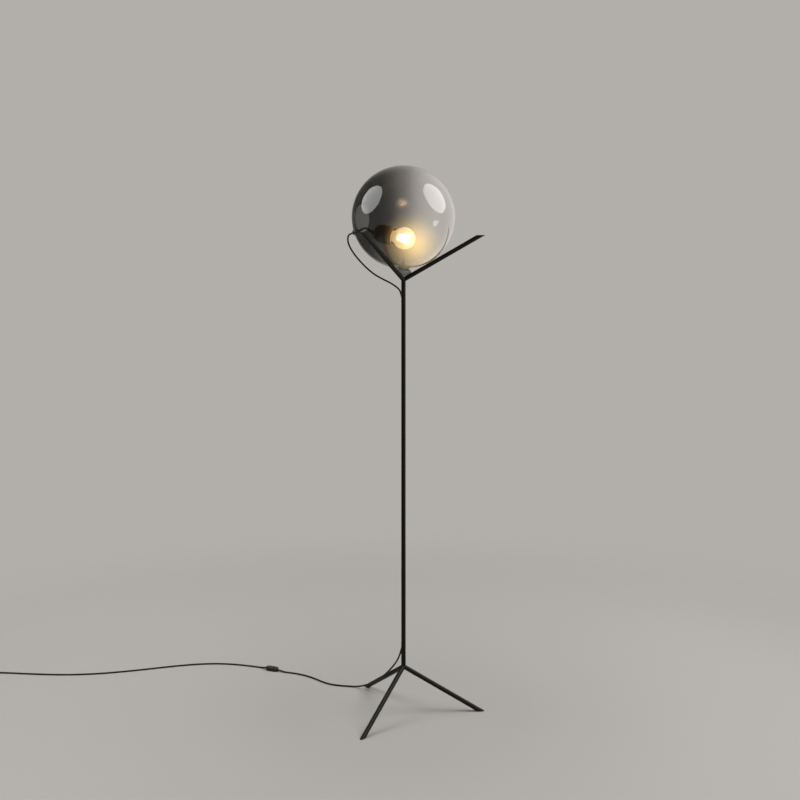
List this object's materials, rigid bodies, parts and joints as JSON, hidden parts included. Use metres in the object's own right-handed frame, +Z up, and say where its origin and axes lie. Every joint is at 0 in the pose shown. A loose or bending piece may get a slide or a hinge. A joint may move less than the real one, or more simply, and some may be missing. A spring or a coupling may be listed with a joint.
{
  "type": "globe floor lamp",
  "caption": "Floor lamp with a smoked glass globe resting in three arms on a pole with three legs, lampholder and bulb inside, cable with an inline switch and plug.",
  "frame": {"origin": "on the floor, on the pole's axis", "axes": "+Z up along the pole, +X towards the right leg, -Y towards the viewer"},
  "size_m": [1.605, 0.556, 1.473],
  "materials": {
    "rod_black": "satin black powder coat",
    "rubber_black": "matt",
    "seat_silicone": "frosted clear silicone",
    "cable_black": "satin cable sheath",
    "switch_black": "fine matt",
    "plug_black": "fine matt",
    "pin_steel": "plated",
    "screw_steel": "zinc plated",
    "contact_brass": "plain brass",
    "smoked_glass": "blown, gradient smoke",
    "clear_glass": "clear",
    "stem_black": "satin",
    "holder_bronze": "dark bronze, satin",
    "porcelain": "glazed ceramic",
    "cap_nickel": "nickel plated",
    "insulator_black": "black glass",
    "filament_glow": "lit phosphor stick",
    "lead_wire": "drawn wire",
    "wire_brown": "insulated conductor",
    "tie_black": "hook and loop strap"
  },
  "bodies": {
    "root": {"pole_tube": "rod_black", "leg_right": "rod_black", "leg_back": "rod_black", "leg_front": "rod_black", "arm_right": "rod_black", "arm_back": "rod_black", "arm_front": "rod_black", "foot_pad_right": "rubber_black", "foot_pad_back": "rubber_black", "foot_pad_front": "rubber_black", "upper_cable_bush": "rubber_black", "lower_cable_bush": "rubber_black", "globe_seat": "seat_silicone", "pole_cord": "cable_black", "upper_cord": "cable_black", "floor_cord": "cable_black", "floor_cord_left": "cable_black", "cord_coil": "cable_black", "coil_tie": "tie_black", "switch_base": "switch_black", "switch_cover": "switch_black", "switch_screws": "screw_steel", "switch_contacts": "contact_brass", "switch_terminal_screws": "screw_steel", "cord_clamps": "switch_black", "plug_strain_relief": "plug_black", "plug_body": "plug_black", "plug_pins": "pin_steel"},
    "globe": {"glass_globe": "smoked_glass", "gland_washer_outer": "rubber_black", "gland_washer_inner": "rubber_black", "gland_bush": "stem_black", "gland_nut": "stem_black", "stem_sleeve": "rubber_black", "holder_stem": "stem_black", "stem_nipple": "holder_bronze", "stem_grub_screw": "screw_steel", "nipple_nut": "screw_steel", "holder_cup": "holder_bronze", "holder_ring": "holder_bronze", "holder_insert": "porcelain", "screw_shell": "contact_brass", "centre_contact": "contact_brass", "side_contact": "contact_brass", "terminal_blocks": "contact_brass", "terminal_screws": "screw_steel", "lamp_wires": "wire_brown", "bulb_glass": "clear_glass", "bulb_cap": "cap_nickel", "bulb_insulator": "insulator_black", "bulb_contact": "cap_nickel", "bulb_mount": "clear_glass", "bulb_filaments": "filament_glow", "filament_leads": "lead_wire"},
    "switch_rocker": {"switch_rocker": "switch_black", "bridge_contact": "contact_brass"}
  },
  "joints": [
    {"name": "globe_turn", "type": "hinge", "parent": "root", "child": "globe", "pos_m": [0, 0, 1.333], "axis": [0, 0, 1], "range_deg": [-45, 45], "deforming": ["upper_cord"]},
    {"name": "rocker_tip", "type": "hinge", "parent": "root", "child": "switch_rocker", "pos_m": [-0.39, 0.31, 0.0082], "axis": [0.454, 0.891, 0], "range_deg": [0, 14]}
  ]
}
